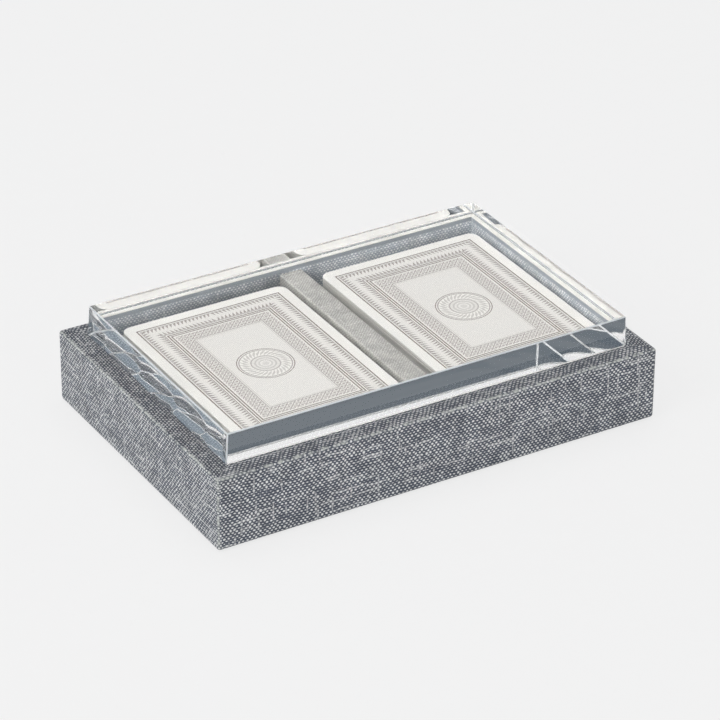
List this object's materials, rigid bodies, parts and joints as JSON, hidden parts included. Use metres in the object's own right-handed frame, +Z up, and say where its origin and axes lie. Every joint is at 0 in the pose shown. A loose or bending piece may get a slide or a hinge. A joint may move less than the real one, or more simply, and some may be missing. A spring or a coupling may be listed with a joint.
{
  "type": "two-deck playing card box",
  "caption": "Low cloth-covered box with a thick clear lift-off lid over a divided tray that holds playing card decks; lid, decks, cuts and top cards lift out.",
  "frame": {"origin": "centre of the underside, on the surface the box stands on", "axes": "+Z up, X along the long side of the box, front toward -Y"},
  "size_m": [0.1694, 0.113, 0.0384],
  "materials": {
    "board": "plain fibreboard",
    "box_cloth": "lacquered dark blue linen book cloth",
    "base_lining_paper": "matt dark lining paper",
    "ledge_paper": "smooth pale paper",
    "band_paper": "smooth blue-grey paper",
    "divider_cloth": "fine grey woven cloth",
    "well_felt": "thin felt",
    "clear_acrylic": "clear polished acrylic",
    "card_stock": "coated white card stock",
    "card_back": "coated card with a warm grey printed back"
  },
  "bodies": {
    "box": {"base_lining": "base_lining_paper", "base_board": "board", "wall_front": "board", "wall_back": "board", "wall_left": "board", "wall_right": "board", "cloth_front": "box_cloth", "cloth_back": "box_cloth", "cloth_left": "box_cloth", "cloth_right": "box_cloth", "tray_board": "board", "ledge_front": "board", "ledge_back": "board", "ledge_left": "board", "ledge_right": "board", "ledge_paper": "ledge_paper", "well_band": "band_paper", "divider_core": "board", "divider_cloth": "divider_cloth", "left_well_lining": "box_cloth", "right_well_lining": "box_cloth", "left_well_pad": "well_felt", "right_well_pad": "well_felt"},
    "lid": {"clear_lid": "clear_acrylic"},
    "left_lower_cards": {"left_jokers": "card_stock", "left_clubs": "card_stock", "left_diamonds": "card_stock"},
    "left_upper_cards": {"left_hearts": "card_stock", "left_spades": "card_stock"},
    "left_top_card": {"left_top_card": "card_back"},
    "right_lower_cards": {"right_jokers": "card_stock", "right_clubs": "card_stock", "right_diamonds": "card_stock"},
    "right_upper_cards": {"right_hearts": "card_stock", "right_spades": "card_stock"},
    "right_top_card": {"right_top_card": "card_back"}
  },
  "joints": [
    {"name": "lid_lift", "type": "slide", "parent": "box", "child": "lid", "axis": [0, 0, 1], "range_m": [0, 0.15]},
    {"name": "left_deck_lift", "type": "slide", "parent": "box", "child": "left_lower_cards", "axis": [0, 0, 1], "range_m": [0, 0.06]},
    {"name": "left_deck_cut", "type": "slide", "parent": "left_lower_cards", "child": "left_upper_cards", "axis": [0, 0, 1], "range_m": [0, 0.03]},
    {"name": "left_top_card_lift", "type": "slide", "parent": "left_upper_cards", "child": "left_top_card", "axis": [0, 0, 1], "range_m": [0, 0.015]},
    {"name": "right_deck_lift", "type": "slide", "parent": "box", "child": "right_lower_cards", "axis": [0, 0, 1], "range_m": [0, 0.06]},
    {"name": "right_deck_cut", "type": "slide", "parent": "right_lower_cards", "child": "right_upper_cards", "axis": [0, 0, 1], "range_m": [0, 0.03]},
    {"name": "right_top_card_lift", "type": "slide", "parent": "right_upper_cards", "child": "right_top_card", "axis": [0, 0, 1], "range_m": [0, 0.015]}
  ],
  "couplings": [
    {"joint": "left_deck_lift", "follows": "lid_lift", "ratio": 0.4},
    {"joint": "left_deck_cut", "follows": "lid_lift", "ratio": 0.2},
    {"joint": "left_top_card_lift", "follows": "lid_lift", "ratio": 0.1},
    {"joint": "right_deck_lift", "follows": "lid_lift", "ratio": 0.4},
    {"joint": "right_deck_cut", "follows": "lid_lift", "ratio": 0.2},
    {"joint": "right_top_card_lift", "follows": "lid_lift", "ratio": 0.1}
  ]
}
